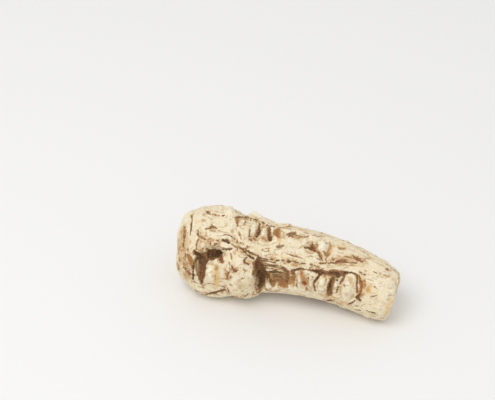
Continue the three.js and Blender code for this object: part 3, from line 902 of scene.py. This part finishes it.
skin = Skin(root)
shake(skin)
close = cork_depth(skin) > NEAR_GROOVE
pick(root)
bpy.ops.object.mode_set(mode="EDIT")
bpy.ops.mesh.select_mode(type="VERT")
bpy.ops.mesh.select_all(action="DESELECT")
bpy.ops.object.mode_set(mode="OBJECT")
root.data.vertices.foreach_set("select", close)
bpy.ops.object.mode_set(mode="EDIT")
bpy.ops.mesh.select_mode(type="FACE")
bpy.ops.mesh.subdivide(number_cuts=1)
bpy.ops.mesh.select_all(action="DESELECT")
bpy.ops.object.mode_set(mode="OBJECT")
print("near the grooves,", int(close.sum()), "vertices; now", len(root.data.polygons), "faces")

# %% [markdown]
# ## Fibres and dimples
# Now the grooves are cut. The torn cork gets fibres that are drawn out along the root, and the cream skin
# gets shallow dimples and a net of fine wrinkles. One light smoothing takes off the sharpest points.

# %% Cut the grooves and roughen the surface
CRACK_BANK = 0.4  # millimetres from a crack's edge to its full depth

skin = Skin(root)
shake(skin)
cork = cork_depth(skin)
torn = ease((cork + 0.1) / 0.5)
fibres = skin.grain(0.55, 6, stretch=2.2, depth=3)
dimples = 0.1 * skin.grain(1.1, 7) + 0.22 * skin.grain(3.5, 8)
wrinkles = 0.3 * (1 - 0.35 * scraped(skin)) * creases(skin, *FINE_NET)
skin.push(carve(skin, ("cut",), CRACK_BANK) + torn * 0.18 * fibres + (1 - torn) * dimples - wrinkles)
modify(root, "SMOOTH", factor=0.3, iterations=1)
triangles = sum(len(face.vertices) - 2 for face in root.data.polygons)
print("the finished root has", triangles, "triangles")

# %% [markdown]
# ## Marks for the material
# The material can't measure strokes, so what it needs is written on the vertices. There are four numbers: how
# far inside cork a vertex is, how deep it lies in a small fold and in a large one, and how strong the stain
# is. There are two colours, the cork's and the stain's.

# %% Write the marks on the vertices
def note(piece, name, values):
    """Stores a number or a colour on every vertex."""
    values = np.asarray(values, dtype=float)
    if values.ndim == 1:
        layer = piece.data.attributes.new(name, "FLOAT", "POINT")
        layer.data.foreach_set("value", values)
    else:
        layer = piece.data.attributes.new(name, "FLOAT_COLOR", "POINT")
        layer.data.foreach_set("color", np.hstack([values, np.ones((len(values), 1))]).ravel())


skin = Skin(root)
shake(skin)
# Cork stays in the creases, but in fewer of them where the root was scraped and near the tail.
wrinkles = np.maximum(creases(skin, *FINE_NET), creases(skin, *WIDE_NET))
wrinkles *= 0.95 - 0.14 * scraped(skin) - 0.3 * ease((skin.along - 27) / 5)
cork = np.maximum(cork_depth(skin), wrinkles - 0.75) + 0.1 * skin.grain(0.9, 11)
stain = np.zeros(len(skin.points))
cork_colour = np.tile(BROWN, (len(skin.points), 1))
stain_colour = np.tile(TAN, (len(skin.points), 1))
for stroke in sorted(strokes, key=lambda stroke: stroke["kind"] != "crust"):
    if stroke["kind"] in ("swell", "bare"):
        continue
    near, inside = felt(skin, stroke, 0.8)
    if stroke["kind"] == "wash":
        share = ease(inside / np.max(stroke["width"]) + 0.25)
        stain[near] = np.maximum(stain[near], stroke["depth"] * share)
        stain_colour[near] += (stroke["colour"] - stain_colour[near]) * ease(share * 3)[:, None]
    else:
        share = ease((inside + 0.25) / 0.35)[:, None]
        cork_colour[near] += (stroke["colour"] - cork_colour[near]) * share

# The large hollows' depth feeds painted shade in the material. The small folds' depth feeds painted shade, a
# painted highlight on ridges and cork in creases.
sunk = ((skin.blur(skin.points, 25) - skin.points) * skin.normals).sum(axis=1)
fold = ((skin.blur(skin.points, 5) - skin.points) * skin.normals).sum(axis=1)
for name, values in {"cork": cork, "fold": fold, "sunk": sunk, "cork_colour": cork_colour, "stain": stain,
                     "stain_colour": stain_colour}.items():
    note(root, name, values)
print("cork covers", round(100 * float((cork > 0).mean())), "% of the vertices")
print("folds are", np.round(np.percentile(fold, [5, 50, 95]), 3), "mm deep")

# %% [markdown]
# ## Shader maths
# The root's finish is made as one material. A material is a graph, and sums in it are nodes. This small class
# wraps one socket, so that an expression on two of them reads as arithmetic and adds its Math nodes itself.
# Every other node comes from one method.

# %% Wrap sockets for shader maths
class Wire:
    """One value in the material being made."""

    tree = None

    def __init__(self, socket):
        self.socket = socket

    @classmethod
    def node(cls, kind, settings=None, inputs=None, out=0):
        """Adds a node: its settings first, then its sockets' values or links. Returns one output."""
        node = cls.tree.nodes.new("ShaderNode" + kind)
        for name, value in (settings or {}).items():
            setattr(node, name, value)
        for name, value in (inputs or {}).items():
            if isinstance(value, Wire):
                cls.tree.links.new(value.socket, node.inputs[name])
            else:
                node.inputs[name].default_value = value
        return cls(node.outputs[out])

    def maths(self, operation, first, second):
        return Wire.node("Math", {"operation": operation}, {0: first, 1: second})

    def __add__(self, other):
        return self.maths("ADD", self, other)

    def __sub__(self, other):
        return self.maths("SUBTRACT", self, other)

    def __mul__(self, other):
        return self.maths("MULTIPLY", self, other)

    def __rsub__(self, other):
        return self.maths("SUBTRACT", other, self)

    __radd__ = __add__
    __rmul__ = __mul__


material = bpy.data.materials.new("root skin")
material.use_nodes = True
Wire.tree = material.node_tree
print("the new material starts with", len(Wire.tree.nodes), "nodes")

# %% [markdown]
# ## Patterns of the root skin
# The skin is scraped flesh with cork left in every hollow and crack. The cork's edge is where the noted depth
# passes zero, once fine noise has been added to it, which frays it. All patterns are clouds of noise in the
# root's own millimetres. One is drawn out along the root, for fibres.

# %% Make the patterns of the root skin
def ramp(value, low, high):
    """0 below low, 1 above high, and a soft change between them."""
    return Wire.node("MapRange", {"interpolation_type": "SMOOTHSTEP"}, {0: value, 1: low, 2: high})


def mark(name, colour=False):
    """What was noted on the vertices under this name."""
    return Wire.node("Attribute", {"attribute_name": name}, out=0 if colour else 2)


def cloud(places, size, detail=2, roughness=0.5):
    """Noise from 0 to 1 with lumps of about this size in millimetres."""
    inputs = {"Vector": places, "Scale": 1 / size, "Detail": detail, "Roughness": roughness}
    return Wire.node("TexNoise", inputs=inputs)


metres = Wire.node("TexCoord", out=3)
places, drawn_out = [Wire.node("VectorMath", {"operation": "MULTIPLY"}, {0: metres, 1: (along, 1000, 1000)})
                     for along in (1000, 300)]
fine = cloud(places, 0.7, 3)
middling = cloud(places, 2.2)
broad = cloud(places, 7)
strands = cloud(drawn_out, 0.45, 3)
fray = cloud(places, 0.6, 4, 0.65)
folded = mark("fold")

depth = mark("cork") + (fray - 0.5) * 1.5 + (middling - 0.5) * 0.8 + ramp(folded, 0.01, 0.09) * 0.2
is_cork = ramp(depth, -0.05, 0.07)
halo = ramp(depth, -0.85, 0.05)
print("with the patterns it has", len(Wire.tree.nodes))

# %% [markdown]
# ## Cream and cork
# Each colour is built like paint, from a ground and thin coats. The cream has paler and darker clouds,
# hairlines, a painted highlight on the ridges, painted shade in the broad hollows and in the folds, where cork
# also stays, then the stains and a tan halo round the cork. The cork takes the colour of its own stroke, with
# tan and dark strands over it and painted shade in its folds.

# %% Colour the cream and the cork
def blend(share, first, second):
    """The first colour turned into the second one by a share; each is a pigment or a wire."""
    first, second = [tint if isinstance(tint, Wire) else (*tint, 1) for tint in (first, second)]
    return Wire.node("Mix", {"data_type": "RGBA"}, {0: share, 6: first, 7: second}, out=2)


def coats(colour, layers):
    """A colour with thin coats laid over it in turn, each by its own share."""
    for share, tint in layers:
        colour = blend(share, colour, tint)
    return colour


def hairline(pattern):
    """1 along the thin lines where a pattern crosses its middle, in some patches of the skin."""
    line = 1 - ramp(Wire.node("Math", {"operation": "ABSOLUTE"}, {0: pattern - 0.5}), 0, 0.012)
    return line * ramp(middling, 0.42, 0.6)


cream = coats(CREAM, [
    (ramp(broad, 0.3, 0.7) * 0.6, pigment(229, 212, 170)),
    (ramp(middling, 0.42, 0.62) * 0.6, pigment(243, 238, 218)),
    (ramp(fine, 0.5, 0.68) * 0.35, pigment(214, 194, 152)),
    (hairline(cloud(drawn_out, 1.5, 3)) * 0.75, CORK),
    (hairline(cloud(places, 1.4, 3)) * 0.5, CORK),
    # painted highlight: the cream is made whiter on ridges, where light catches it
    (ramp(0 - folded, 0.015, 0.09) * 0.6, pigment(247, 243, 226)),
    # painted shade: the cream is made tan in broad hollows, where shade falls
    (ramp(mark("sunk"), 0.15, 0.5) * 0.25, TAN),
    # cork left in creases, and painted shade: the cream is made darker brown in its folds
    (ramp(folded, 0.012, 0.06) * 0.5, CORK),
    (mark("stain") * (0.6 + fine * 0.8), mark("stain_colour", True)),
    (halo * ramp(middling, 0.25, 0.6) * 0.8, pigment(206, 173, 127))])
bark = coats(mark("cork_colour", True), [
    (ramp(strands, 0.5, 0.72) * 0.45, TAN),
    (ramp(depth, 0.15, 0.6) * 0.4, UMBER),
    ((1 - ramp(depth, 0, 0.4)) * 0.55, pigment(188, 146, 98)),
    (ramp(1 - strands, 0.52, 0.7) * 0.4, SHADOW),
    (ramp(fine, 0.5, 0.7) * 0.35, STRAW),
    # painted shade: the cork is darkened in its folds
    (ramp(folded, 0.04, 0.14) * 0.25, SHADOW)])
base = blend(is_cork, cream, bark)
print("with the colours it has", len(Wire.tree.nodes))

# %% [markdown]
# ## A matt and grainy surface
# Dried flesh is matt, so the roughness is high and the shine low. A bump adds the grain that is finer than
# the quads, and smooth shading hides their edges.

# %% Finish the root skin
shader = Wire.tree.nodes["Principled BSDF"]
settle(shader, {"Roughness": 0.85, "Specular IOR Level": 0.25})
relief = strands * 0.5 + fine * 0.3 + cloud(places, 0.3) * 0.2
bump = Wire.node("Bump", inputs={"Strength": 0.6, "Distance": 0.3 * MM, "Height": relief})
Wire.tree.links.new(base.socket, shader.inputs["Base Color"])
Wire.tree.links.new(bump.socket, shader.inputs["Normal"])
root.data.materials.append(material)
pick(root)
bpy.ops.object.shade_smooth()
print("the finished root skin has", len(Wire.tree.nodes))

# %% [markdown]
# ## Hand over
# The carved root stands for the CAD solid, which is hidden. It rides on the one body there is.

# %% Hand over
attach(root, "root")
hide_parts("dong_quai_root")
